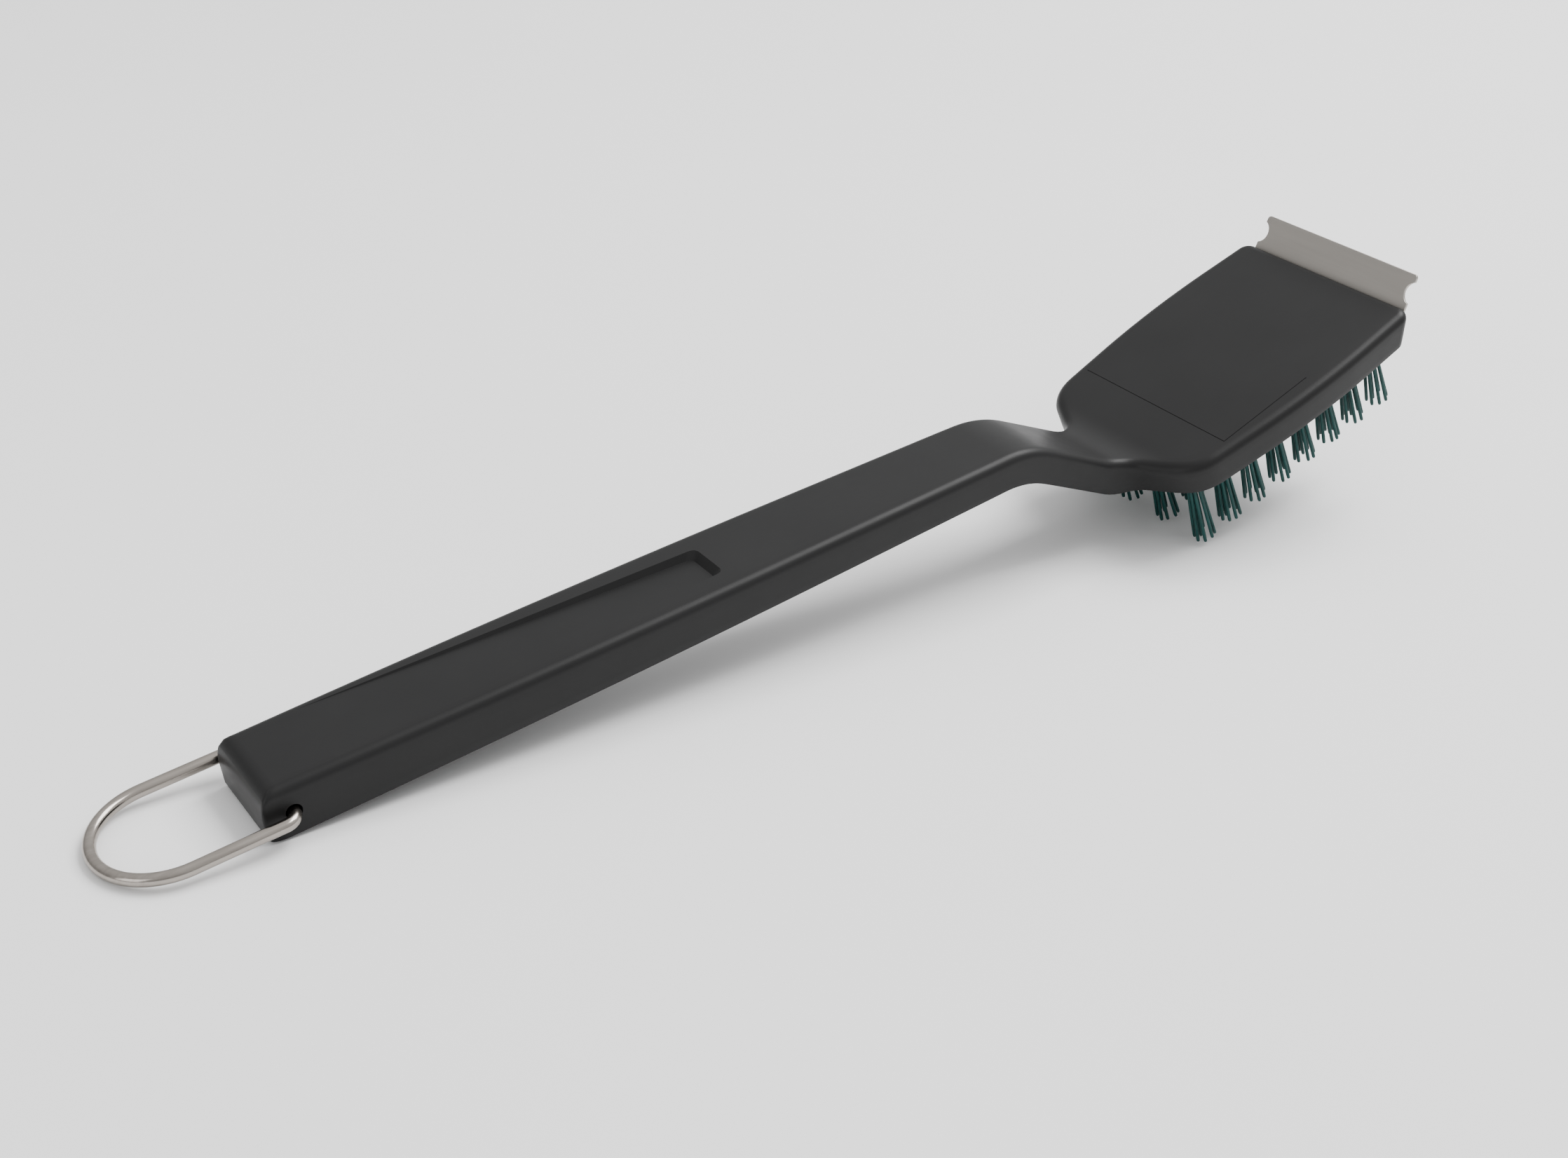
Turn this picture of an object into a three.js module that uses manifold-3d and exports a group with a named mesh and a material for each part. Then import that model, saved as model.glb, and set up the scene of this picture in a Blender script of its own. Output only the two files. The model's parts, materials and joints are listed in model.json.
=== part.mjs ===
// Grill cleaning brush: a one-piece moulded handle, neck and head, a bent steel scraper blade,
// nylon bristle tufts set in blind holes and a swinging wire hanging loop.
// The model is drawn level, x from the rear of the handle to the scraper and z = 0 on the
// handle's top face, and is then tilted so that it stands as it lies on a table.
// Millimetres, +Z up.
import * as THREE from "three";
import { LoftGeometry } from "three/addons/geometries/LoftGeometry.js";
import { mergeVertices } from "three/addons/utils/BufferGeometryUtils.js";
import Module from "manifold-3d";

// Handle
const HANDLE_LENGTH = 264;
const HANDLE_END_HALF_WIDTH = 16.4;
const HANDLE_SWELL_HALF_WIDTH = 18.6;
const HANDLE_SWELL_FROM_END = 95;
const HANDLE_SWELL_BEND = 85;
const HANDLE_FRONT_HALF_WIDTH = 15.4;
const HANDLE_FRONT_SETBACK = 14;
const HANDLE_END_THICKNESS = 16.4;
const HANDLE_MID_THICKNESS = 14.3;
const HANDLE_FRONT_THICKNESS = 11.2;
const HANDLE_END_CORNER_R = 1.4;
const END_TOP_RUN = 4.8;
const END_TOP_FALL = 7.6;
const END_BOTTOM_RUN = 6;
const END_BOTTOM_RISE = 2;
const TOP_EDGE_R = 3.2;
const END_EDGE_R = 0.8;

// Neck
const NECK_DROP = 22.4;
const NECK_RUN = 39.2;
const NECK_HALF_WIDTH = 14.6;
const NECK_TAPER_LENGTH = 6;
const NECK_UNDER_SETBACK = 3.2;
const NECK_TOP_BEND = 10;
const NECK_UNDER_BEND = 9;
const NECK_SIDE_BEND = 6;

// Head
const HEAD_LENGTH = 110.2;
const HEAD_PITCH = THREE.MathUtils.degToRad(15.1);
const HEAD_THICKNESS = 11.2;
const HEAD_HALF_WIDTH = 41.35;
const HEAD_WIDEST_FROM_FRONT = 45.6;
const HEAD_FRONT_NARROWING = 2.75;
const HEAD_SHOULDER_NARROWING = 4.95;
const HEAD_SHOULDER_RUN = 11.7;
const HEAD_SHOULDER_BEND = 8.5;
const HEAD_SIDE_BEND = 25;
const HEAD_FRONT_CORNER_R = 4.8;
const HEAD_FRONT_LEAN = 1.3;

// Wedge-shaped thumb recess in the handle's top face
const RECESS_START = 24;
const RECESS_END = 151;
const RECESS_EDGE_MARGIN = 0.3;
const RECESS_TAPER = 5.4;
const RECESS_DEPTH = 2.2;

// Cored bays in the handle's underside
const CORE_START = 24;
const CORE_FRONT_MARGIN = 14;
const CORE_BAYS = 7;
const CORE_RIB = 2.4;
const CORE_WALL = 3;
const CORE_ROOF = 3.2;

// Bristle tufts
const TUFT_ROWS = 8;
const TUFT_COLUMNS = 4;
const TUFT_FRONT_MARGIN = 10.6;
const TUFT_REAR_MARGIN = 15.6;
const TUFT_SIDE_MARGIN = 9.4;
const TUFT_LENGTH = 26.7;
const TUFT_ROOT_R = 2.1;
const TUFT_TIP_R = 4.2;
const HOLE_FLOOR = 0.9;
const TUFT_SIDES = 10;

// Scraper blade
const BLADE_THICKNESS = 1;
const BLADE_SIDE_MARGIN = 3.8;
const BLADE_HEIGHT = 15.4;
const BLADE_ANGLE = THREE.MathUtils.degToRad(61);
const BLADE_FLANGE = 16;
const BLADE_DEPTH_IN_HEAD = 4.6;
const BLADE_SETBACK = 2;
const BLADE_BEND_R = 2.2;
const SCALLOP_R = 5.2;
const SCALLOP_DEPTH = 2.9;
const SCALLOP_FROM_TIP = 6.2;

// Hanging loop
const WIRE_R = 1.875;
const LOOP_SIDE_GAP = 0.7;
const LOOP_ARM = 29.5;
const LOOP_HOOK_R = 4;
const LOOP_END_INSET = 10;
const PIVOT_FROM_END = 8.5;
const PIVOT_DEPTH = 9.1;
const PIVOT_HOLE_PLAY = 0.525;
const WIRE_SAG = 0.35;

const CLEARANCE = 0.3;
const REACH = 60;
const ARC_STEPS = 3;

const wasm = await Module();
wasm.setup();

const PLASTIC = new THREE.MeshStandardMaterial({ color: 0x3e3f3f, roughness: 0.45, metalness: 0 });
const STEEL = new THREE.MeshStandardMaterial({ color: 0x97938d, roughness: 0.35, metalness: 1 });
const WIRE = new THREE.MeshStandardMaterial({ color: 0xb4aca3, roughness: 0.25, metalness: 1 });
const NYLON = new THREE.MeshStandardMaterial({ color: 0x2f5f5a, roughness: 0.5, metalness: 0 });

// --- solids ---

function solid(geometry) {
  const bare = new THREE.BufferGeometry();
  bare.setAttribute("position", geometry.getAttribute("position"));
  bare.setIndex(geometry.getIndex());
  const merged = mergeVertices(bare, 1e-4);
  return new wasm.Manifold(new wasm.Mesh({
    numProp: 3,
    vertProperties: merged.attributes.position.array,
    triVerts: new Uint32Array(merged.index.array),
  }));
}

function geometryOf(made) {
  const mesh = made.getMesh();
  const geometry = new THREE.BufferGeometry();
  geometry.setAttribute("position", new THREE.BufferAttribute(mesh.vertProperties, 3));
  geometry.setIndex(new THREE.BufferAttribute(mesh.triVerts, 1));
  geometry.computeVertexNormals();
  return geometry;
}

function named(name, geometry, material) {
  const mesh = new THREE.Mesh(geometry, material);
  mesh.name = name;
  return mesh;
}

// A closed outline in the x-z plane, extruded across the brush between -halfWidth and +halfWidth.
function acrossBrush(points, halfWidth) {
  const outline = points.map(([x, z]) => new THREE.Vector2(x, z));
  if (THREE.ShapeUtils.area(outline) < 0) outline.reverse();
  const shape = new THREE.Shape(outline);
  const geometry = new THREE.ExtrudeGeometry(shape, { depth: 2 * halfWidth, bevelEnabled: false });
  return geometry.rotateX(Math.PI / 2).translate(0, halfWidth, 0);
}

// A closed outline in the x-y plane, extruded upwards from z = low to z = high.
function upwards(points, low, high) {
  const outline = points.map(([x, y]) => new THREE.Vector2(x, y));
  const shape = new THREE.Shape(outline);
  const geometry = new THREE.ExtrudeGeometry(shape, { depth: high - low, bevelEnabled: false });
  return geometry.translate(0, 0, low);
}

// --- side profile and plan of the moulding ---

// A polyline of [x, height, bend] corners, each rounded over the length bend to either side, as a
// function from x to height.
function roundedLine(corners) {
  const points = corners.map(([x, z]) => new THREE.Vector2(x, z));
  const path = new THREE.Path();
  path.moveTo(points[0].x, points[0].y);
  for (let i = 1; i < points.length - 1; i++) {
    const corner = points[i];
    const bend = corners[i][2];
    const before = corner.clone().add(points[i - 1].clone().sub(corner).setLength(bend));
    const after = corner.clone().add(points[i + 1].clone().sub(corner).setLength(bend));
    path.lineTo(before.x, before.y);
    path.quadraticCurveTo(corner.x, corner.y, after.x, after.y);
  }
  path.lineTo(points.at(-1).x, points.at(-1).y);
  return heightAlong(path.getPoints(8));
}

function heightAlong(points) {
  return (x) => {
    let i = 1;
    while (i < points.length - 1 && points[i].x < x) i++;
    const a = points[i - 1];
    const b = points[i];
    return THREE.MathUtils.lerp(a.y, b.y, (x - a.x) / (b.x - a.x));
  };
}

const along = new THREE.Vector2(Math.cos(HEAD_PITCH), Math.sin(HEAD_PITCH));
const below = new THREE.Vector2(Math.sin(HEAD_PITCH), -Math.cos(HEAD_PITCH));
const headRear = new THREE.Vector2(HANDLE_LENGTH + NECK_RUN, -NECK_DROP);
const headFront = headRear.clone().addScaledVector(along, HEAD_LENGTH);
const underside = headFront.clone().addScaledVector(below, HEAD_THICKNESS);

// A point of the head, given its distance back from the front edge and its depth below the top.
function inHead(back, depth) {
  return headFront.clone().addScaledVector(along, -back).addScaledVector(below, depth);
}

// Where the neck's underside crosses the head's underside.
const neckSlope = -NECK_DROP / NECK_RUN;
const neckUnder = new THREE.Vector2(HANDLE_LENGTH - NECK_UNDER_SETBACK, -HANDLE_FRONT_THICKNESS);
const headSlope = Math.tan(HEAD_PITCH);
const headUnderAtZero = underside.y - headSlope * underside.x;
const neckUnderAtZero = neckUnder.y - neckSlope * neckUnder.x;
const valleyX = (headUnderAtZero - neckUnderAtZero) / (neckSlope - headSlope);

const topAt = roundedLine([
  [0, 0],
  [HANDLE_LENGTH, 0, NECK_TOP_BEND],
  [headRear.x, headRear.y, NECK_TOP_BEND],
  [headFront.x, headFront.y],
]);
const bottomAt = roundedLine([
  [0, -HANDLE_END_THICKNESS],
  [HANDLE_SWELL_FROM_END, -HANDLE_MID_THICKNESS, NECK_UNDER_BEND],
  [neckUnder.x, neckUnder.y, NECK_UNDER_BEND],
  [valleyX, headUnderAtZero + headSlope * valleyX, NECK_UNDER_BEND],
  [underside.x, underside.y],
]);

// Half-width along the brush, from the rear of the handle to the front of the head.
const shoulderHalfWidth = HEAD_HALF_WIDTH - HEAD_SHOULDER_NARROWING;
const frontHalfWidth = HEAD_HALF_WIDTH - HEAD_FRONT_NARROWING;
const widthAt = roundedLine([
  [0, HANDLE_END_HALF_WIDTH],
  [HANDLE_SWELL_FROM_END, HANDLE_SWELL_HALF_WIDTH, HANDLE_SWELL_BEND],
  [HANDLE_LENGTH - HANDLE_FRONT_SETBACK, HANDLE_FRONT_HALF_WIDTH, NECK_SIDE_BEND],
  [HANDLE_LENGTH + NECK_TAPER_LENGTH, NECK_HALF_WIDTH, NECK_SIDE_BEND],
  [headRear.x, NECK_HALF_WIDTH, NECK_SIDE_BEND],
  [headRear.x + HEAD_SHOULDER_RUN, shoulderHalfWidth, HEAD_SHOULDER_BEND],
  [headFront.x - HEAD_WIDEST_FROM_FRONT, HEAD_HALF_WIDTH, HEAD_SIDE_BEND],
  [headFront.x, frontHalfWidth],
]);

// How far a quarter-round of radius r has fallen away at distance d from its outer edge.
function roundOff(d, r) {
  if (d >= r) return 0;
  return r - Math.sqrt(r * r - (r - d) ** 2);
}

// The same for an end that is rounded over a run of its own length.
function endFall(x, run, fall) {
  return fall * roundOff(x / run, 1);
}

// How far the foot of the side wall stands behind its top. The head's rear wall is square to the
// head, so its foot stands in front instead.
const rearLean = -HEAD_THICKNESS * Math.sin(HEAD_PITCH);

function leanAt(x) {
  if (x < headRear.x) {
    return rearLean * THREE.MathUtils.smoothstep(x, headRear.x - NECK_TOP_BEND, headRear.x);
  }
  const share = (x - headRear.x) / (headFront.x - headRear.x);
  return THREE.MathUtils.lerp(rearLean, HEAD_FRONT_LEAN, share);
}

// One cross-section of the moulding: flat below, rounded along both top edges.
function mouldingSection(x) {
  const toRear = x;
  const toFront = headFront.x - x;
  const inset = roundOff(toRear, HANDLE_END_CORNER_R) + roundOff(toFront, HEAD_FRONT_CORNER_R);
  const halfWidth = widthAt(x) - inset;
  const top = topAt(x) - endFall(toRear, END_TOP_RUN, END_TOP_FALL) - roundOff(toFront, TOP_EDGE_R);
  const edgeR = THREE.MathUtils.lerp(END_EDGE_R, TOP_EDGE_R, Math.min(1, toRear / END_TOP_RUN));
  const lean = leanAt(x);
  const bottom = bottomAt(x - lean) + endFall(toRear, END_BOTTOM_RUN, END_BOTTOM_RISE);
  const right = [[x - lean, halfWidth, bottom]];
  for (let i = 0; i <= ARC_STEPS; i++) {
    const turn = (i / ARC_STEPS) * (Math.PI / 2);
    const y = halfWidth - edgeR * (1 - Math.cos(turn));
    const z = top - edgeR * (1 - Math.sin(turn));
    right.push([x - (lean * (top - z)) / (top - bottom), y, z]);
  }
  const left = right.map(([px, py, pz]) => [px, -py, pz]).reverse();
  return [...right, ...left].map(([px, py, pz]) => new THREE.Vector3(px, py, pz));
}

function spread(from, to, steps) {
  return Array.from({ length: steps }, (unused, i) => THREE.MathUtils.lerp(from, to, i / steps));
}

function quarterSpread(edge, r, inward, steps) {
  return Array.from({ length: steps }, (unused, i) => {
    const turn = (i / steps) * (Math.PI / 2);
    return edge + inward * r * (1 - Math.cos(turn));
  });
}

const stations = [
  ...quarterSpread(0, END_BOTTOM_RUN, 1, 6),
  ...spread(END_BOTTOM_RUN, HANDLE_LENGTH - NECK_TOP_BEND, 10),
  ...spread(HANDLE_LENGTH - NECK_TOP_BEND, headRear.x - NECK_TOP_BEND, 9),
  ...spread(headRear.x - NECK_TOP_BEND, headRear.x + 2 * HEAD_SHOULDER_BEND, 15),
  ...spread(headRear.x + 2 * HEAD_SHOULDER_BEND, headFront.x - HEAD_FRONT_CORNER_R, 7),
  headFront.x - HEAD_FRONT_CORNER_R,
  ...quarterSpread(headFront.x, HEAD_FRONT_CORNER_R, -1, 5).reverse(),
];

let moulding = solid(
  new LoftGeometry(stations.map(mouldingSection), { capStart: true, capEnd: true }),
);

// --- thumb recess, sloping from nothing at the rear to its full depth at the front ---

const recessRear = widthAt(RECESS_START) - TOP_EDGE_R - RECESS_EDGE_MARGIN;
const recessFront = recessRear - RECESS_TAPER;
const recessPlan = [
  [RECESS_START, -recessRear],
  [RECESS_END, -recessFront],
  [RECESS_END, recessFront],
  [RECESS_START, recessRear],
];
const recessSide = [
  [RECESS_START, 0],
  [RECESS_END, -RECESS_DEPTH],
  [RECESS_END, REACH],
  [RECESS_START, REACH],
];
moulding = moulding.subtract(
  solid(upwards(recessPlan, -REACH, REACH)).intersect(solid(acrossBrush(recessSide, REACH))),
);

// --- cored bays below the handle, between cross ribs ---

const coreEnd = HANDLE_LENGTH - CORE_FRONT_MARGIN;
const bayPitch = (coreEnd - CORE_START + CORE_RIB) / CORE_BAYS;
for (let i = 0; i < CORE_BAYS; i++) {
  const from = CORE_START + i * bayPitch;
  const to = from + bayPitch - CORE_RIB;
  const fromHalf = widthAt(from) - CORE_WALL;
  const toHalf = widthAt(to) - CORE_WALL;
  const bay = [[from, -fromHalf], [to, -toHalf], [to, toHalf], [from, fromHalf]];
  moulding = moulding.subtract(solid(upwards(bay, -REACH, -RECESS_DEPTH - CORE_ROOF)));
}

// --- cross hole for the hanging loop, with play: the wire hangs low in it ---

const pivotHoleR = WIRE_R + PIVOT_HOLE_PLAY;
const pivotHole = new THREE.CylinderGeometry(pivotHoleR, pivotHoleR, 2 * REACH, 16);
pivotHole.translate(PIVOT_FROM_END, 0, WIRE_SAG - PIVOT_DEPTH);
moulding = moulding.subtract(solid(pivotHole));

// --- scraper blade: a flange inside the head, bent up along the head's front edge ---

const bladeHalfWidth = frontHalfWidth - BLADE_SIDE_MARGIN;
const bladeCorner = inHead(BLADE_SETBACK, BLADE_DEPTH_IN_HEAD);
const bladeRise = new THREE.Vector2(Math.cos(BLADE_ANGLE), Math.sin(BLADE_ANGLE));
const flangeEnd = bladeCorner.clone().addScaledVector(along, -BLADE_FLANGE);
const bladeTip = bladeCorner.clone().addScaledVector(bladeRise, BLADE_HEIGHT);

// The outline of a bent strip of the given thickness, lengthened at its flange end by extra.
function bentStrip(thickness, extra) {
  const path = new THREE.Path();
  const start = flangeEnd.clone().addScaledVector(along, -extra);
  const into = bladeCorner.clone().addScaledVector(along, -BLADE_BEND_R);
  const out = bladeCorner.clone().addScaledVector(bladeRise, BLADE_BEND_R);
  path.moveTo(start.x, start.y);
  path.lineTo(into.x, into.y);
  path.quadraticCurveTo(bladeCorner.x, bladeCorner.y, out.x, out.y);
  path.lineTo(bladeTip.x, bladeTip.y);
  const middle = path.getPoints(4);
  const sides = [-1, 1].map((side) => middle.map((point, i) => {
    const a = middle[Math.max(i - 1, 0)];
    const b = middle[Math.min(i + 1, middle.length - 1)];
    const direction = b.clone().sub(a).normalize();
    const offset = (side * thickness) / 2;
    return [point.x - direction.y * offset, point.y + direction.x * offset];
  }));
  return [...sides[0], ...sides[1].reverse()];
}

const scallopAway = bladeHalfWidth + SCALLOP_R - SCALLOP_DEPTH;
const scallopCentre = bladeTip.clone().addScaledVector(bladeRise, -SCALLOP_FROM_TIP);
let blade = solid(acrossBrush(bentStrip(BLADE_THICKNESS, 0), bladeHalfWidth));
for (const side of [-1, 1]) {
  const scallop = new THREE.CylinderGeometry(SCALLOP_R, SCALLOP_R, 3 * BLADE_THICKNESS, 24);
  scallop.rotateZ(BLADE_ANGLE);
  scallop.translate(scallopCentre.x, side * scallopAway, scallopCentre.y);
  blade = blade.subtract(solid(scallop));
}

const slotHalfWidth = bladeHalfWidth + CLEARANCE;
const slotThickness = BLADE_THICKNESS + 2 * CLEARANCE;
moulding = moulding.subtract(
  solid(acrossBrush(bentStrip(slotThickness, CLEARANCE), slotHalfWidth)),
);

// The head is open in front of the blade, from the slot's lower face upwards.
const lipBack = inHead(BLADE_SETBACK + BLADE_BEND_R, BLADE_DEPTH_IN_HEAD + slotThickness / 2);
const lipFront = inHead(-REACH, BLADE_DEPTH_IN_HEAD + slotThickness / 2);
const mouth = [
  [lipBack.x, lipBack.y],
  [lipFront.x, lipFront.y],
  [lipFront.x, lipFront.y + REACH],
  [bladeTip.x, bladeTip.y],
  [bladeCorner.x, bladeCorner.y],
];
moulding = moulding.subtract(solid(acrossBrush(mouth, slotHalfWidth)));

// --- bristle tufts and their holes ---

// The holes stop short of the slot that holds the blade's flange.
const slotDepth = BLADE_DEPTH_IN_HEAD + BLADE_THICKNESS / 2 + CLEARANCE;
const tuftHoleDepth = HEAD_THICKNESS - slotDepth - HOLE_FLOOR;
const rowPitch = (HEAD_LENGTH - TUFT_FRONT_MARGIN - TUFT_REAR_MARGIN) / (TUFT_ROWS - 1);
const columnPitch = (2 * (shoulderHalfWidth - TUFT_SIDE_MARGIN)) / (TUFT_COLUMNS - 1);

// A figure of revolution about the tuft's own axis; y is measured from the head's underside,
// positive into the head.
function tuftLathe(profile) {
  const points = profile.map(([r, y]) => new THREE.Vector2(r, y));
  return new THREE.LatheGeometry(points, TUFT_SIDES);
}

function placeTuft(object, row, column) {
  const back = TUFT_FRONT_MARGIN + row * rowPitch;
  const mouthPoint = inHead(back, HEAD_THICKNESS);
  const y = (column - (TUFT_COLUMNS - 1) / 2) * columnPitch;
  object.position.set(mouthPoint.x, y, mouthPoint.y);
  object.quaternion.setFromUnitVectors(
    new THREE.Vector3(0, 1, 0),
    new THREE.Vector3(-below.x, 0, -below.y),
  );
}

const tuftGeometry = tuftLathe([
  [0, -TUFT_LENGTH],
  [TUFT_TIP_R, -TUFT_LENGTH],
  [TUFT_ROOT_R, 0],
  [TUFT_ROOT_R, tuftHoleDepth - CLEARANCE],
  [0, tuftHoleDepth - CLEARANCE],
]);
const flareAtMouth = CLEARANCE;
const holeGeometry = tuftLathe([
  [0, -flareAtMouth],
  [TUFT_ROOT_R + CLEARANCE, -flareAtMouth],
  [TUFT_ROOT_R + CLEARANCE, tuftHoleDepth],
  [0, tuftHoleDepth],
]);

const tufts = [];
for (let row = 0; row < TUFT_ROWS; row++) {
  for (let column = 0; column < TUFT_COLUMNS; column++) {
    const tuft = named(`tuft_row${row + 1}_${column + 1}`, tuftGeometry, NYLON);
    placeTuft(tuft, row, column);
    tufts.push(tuft);
    const hole = new THREE.Mesh(holeGeometry);
    placeTuft(hole, row, column);
    hole.updateMatrix();
    moulding = moulding.subtract(solid(holeGeometry.clone().applyMatrix4(hole.matrix)));
  }
}

// --- hanging loop: one bent wire, drawn about its pivot and trailing behind the handle ---

const loopHalfWidth = widthAt(HANDLE_SWELL_FROM_END) + LOOP_SIDE_GAP + WIRE_R;

function wireStations() {
  const half = [];
  half.push([0, loopHalfWidth - LOOP_END_INSET - LOOP_HOOK_R, Math.PI / 2]);
  for (const turn of [...spread(0, Math.PI / 2, 4), Math.PI / 2]) {
    const x = -LOOP_HOOK_R * (1 - Math.cos(turn));
    const y = loopHalfWidth - LOOP_HOOK_R * (1 - Math.sin(turn));
    half.push([x, y, Math.PI / 2 + turn]);
  }
  for (const turn of spread(0, Math.PI / 2, 9)) {
    const x = -LOOP_ARM - loopHalfWidth * Math.sin(turn);
    half.push([x, loopHalfWidth * Math.cos(turn), Math.PI + turn]);
  }
  const bow = [-LOOP_ARM - loopHalfWidth, 0, 1.5 * Math.PI];
  const mirrored = half.map(([x, y, heading]) => [x, -y, 3 * Math.PI - heading]).reverse();
  return [...half, bow, ...mirrored];
}

function wireSection([x, y, heading]) {
  const sideways = new THREE.Vector3(-Math.sin(heading), Math.cos(heading), 0);
  return Array.from({ length: 12 }, (unused, i) => {
    const turn = (i / 12) * 2 * Math.PI;
    const point = new THREE.Vector3(x, y, WIRE_R * Math.sin(turn));
    return point.addScaledVector(sideways, WIRE_R * Math.cos(turn));
  });
}

const loop = named(
  "hanging_loop",
  new LoftGeometry(wireStations().map(wireSection), { capStart: true, capEnd: true }),
  WIRE,
);
loop.position.set(PIVOT_FROM_END, 0, -PIVOT_DEPTH);

// --- the brush as it lies: on its rear tufts and on the end of the handle ---

const brush = new THREE.Group();
brush.add(named("body", geometryOf(moulding), PLASTIC));
brush.add(named("scraper_blade", geometryOf(blade), STEEL));
brush.add(loop);
brush.add(...tufts);

const restTips = inHead(HEAD_LENGTH - TUFT_REAR_MARGIN, HEAD_THICKNESS + TUFT_LENGTH)
  .addScaledVector(along, -TUFT_TIP_R);
const restHeel = new THREE.Vector2(END_BOTTOM_RUN, bottomAt(END_BOTTOM_RUN));
const restAngle = Math.atan2(restTips.y - restHeel.y, restTips.x - restHeel.x);
brush.rotation.y = restAngle;

const group = new THREE.Group();
group.add(brush);
group.updateMatrixWorld(true);
const extent = new THREE.Box3().setFromObject(group, true);
const middle = extent.getCenter(new THREE.Vector3());
brush.position.set(-middle.x, -middle.y, -extent.min.z);

export default group;
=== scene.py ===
"""Grill cleaning brush: moulded body, steel scraper, wire hanging loop and nylon filaments.

The brush is drawn in millimetres, as in the part's source, and then carried into the part's frame.
"""
import json
import math
import random

import bmesh
import bpy
import numpy as np
from mathutils import Matrix, Vector


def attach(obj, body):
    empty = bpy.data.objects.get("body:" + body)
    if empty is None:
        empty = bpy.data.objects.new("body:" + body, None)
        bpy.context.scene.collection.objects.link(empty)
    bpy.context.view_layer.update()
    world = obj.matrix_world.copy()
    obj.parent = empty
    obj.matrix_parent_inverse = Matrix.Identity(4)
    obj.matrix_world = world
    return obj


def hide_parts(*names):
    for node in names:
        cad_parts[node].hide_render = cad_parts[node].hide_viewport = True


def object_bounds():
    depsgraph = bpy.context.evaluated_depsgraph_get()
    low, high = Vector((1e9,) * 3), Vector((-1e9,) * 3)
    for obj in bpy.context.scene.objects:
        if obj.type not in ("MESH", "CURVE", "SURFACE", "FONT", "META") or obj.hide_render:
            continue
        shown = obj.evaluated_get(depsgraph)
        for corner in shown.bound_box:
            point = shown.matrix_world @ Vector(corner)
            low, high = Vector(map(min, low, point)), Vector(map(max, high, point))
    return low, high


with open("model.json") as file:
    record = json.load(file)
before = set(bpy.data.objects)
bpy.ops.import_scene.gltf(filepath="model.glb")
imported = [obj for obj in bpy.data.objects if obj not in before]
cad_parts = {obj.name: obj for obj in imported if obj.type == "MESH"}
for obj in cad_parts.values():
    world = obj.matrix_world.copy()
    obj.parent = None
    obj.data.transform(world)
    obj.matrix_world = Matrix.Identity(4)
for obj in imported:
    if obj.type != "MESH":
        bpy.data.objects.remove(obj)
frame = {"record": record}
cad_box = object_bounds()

# Sizes in millimetres, in the frame the brush is drawn in: x from the rear of the handle towards
# the scraper, z = 0 on the handle's top face.
HANDLE_LENGTH = 264
HANDLE_END_HALF_WIDTH, HANDLE_FRONT_HALF_WIDTH, HANDLE_FRONT_SETBACK = 16.4, 15.4, 14
HANDLE_SWELL_HALF_WIDTH, HANDLE_SWELL_FROM_END, HANDLE_SWELL_BEND = 18.6, 95, 85
HANDLE_END_THICKNESS, HANDLE_MID_THICKNESS, HANDLE_FRONT_THICKNESS = 16.4, 14.3, 11.2
HANDLE_UNDER_BEND = 60
END_CORNER_R = 1.4
END_TOP_RUN, END_TOP_FALL = 4.8, 7.6
END_BOTTOM_RUN, END_BOTTOM_RISE = 6, 2
TOP_EDGE_R = 3.2
END_EDGE_R = 0.8
UNDER_EDGE_R = 0.3
NECK_DROP, NECK_RUN = 22.4, 39.2
NECK_HALF_WIDTH, NECK_TAPER_LENGTH = 14.6, 6
NECK_TOP_BEND, NECK_UNDER_BEND, NECK_SIDE_BEND = 10, 9, 6
NECK_UNDER_SETBACK = 3.2
HEAD_LENGTH, HEAD_THICKNESS = 110.2, 11.2
HEAD_PITCH = math.radians(15.1)
HEAD_SHOULDER_HALF_WIDTH, HEAD_SHOULDER_RUN, HEAD_SHOULDER_BEND = 36.4, 11.7, 8.5
HEAD_HALF_WIDTH, HEAD_WIDEST_FROM_FRONT, HEAD_SIDE_BEND = 41.35, 45.6, 25
HEAD_FRONT_HALF_WIDTH, HEAD_FRONT_CORNER_R, HEAD_FRONT_LEAN = 38.6, 4.8, 1.3
TUFT_ROWS, TUFT_COLUMNS = 8, 4
TUFT_ROW_PITCH, TUFT_COLUMN_PITCH = 12, 18
TUFT_FRONT_MARGIN, TUFT_LENGTH, TUFT_TIP_R, TUFT_ROOT_R = 10.6, 26.7, 4.2, 2.1
PIVOT = (8.5, 0, -9.1)
WIRE_R = 1.875
CLEARANCE = 0.3

# Directions and points of the side view, as (x, z).
along = np.array([math.cos(HEAD_PITCH), math.sin(HEAD_PITCH)])
below = np.array([math.sin(HEAD_PITCH), -math.cos(HEAD_PITCH)])
head_rear = np.array([HANDLE_LENGTH + NECK_RUN, -NECK_DROP])
head_front = head_rear + along * HEAD_LENGTH
underside = head_front + below * HEAD_THICKNESS


def in_head(back, depth):
    """(x, z) of a point of the head, back from its front edge and below its top face."""
    return head_front - along * back + below * depth


# --- from the drawn frame to the part's frame ---

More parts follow.
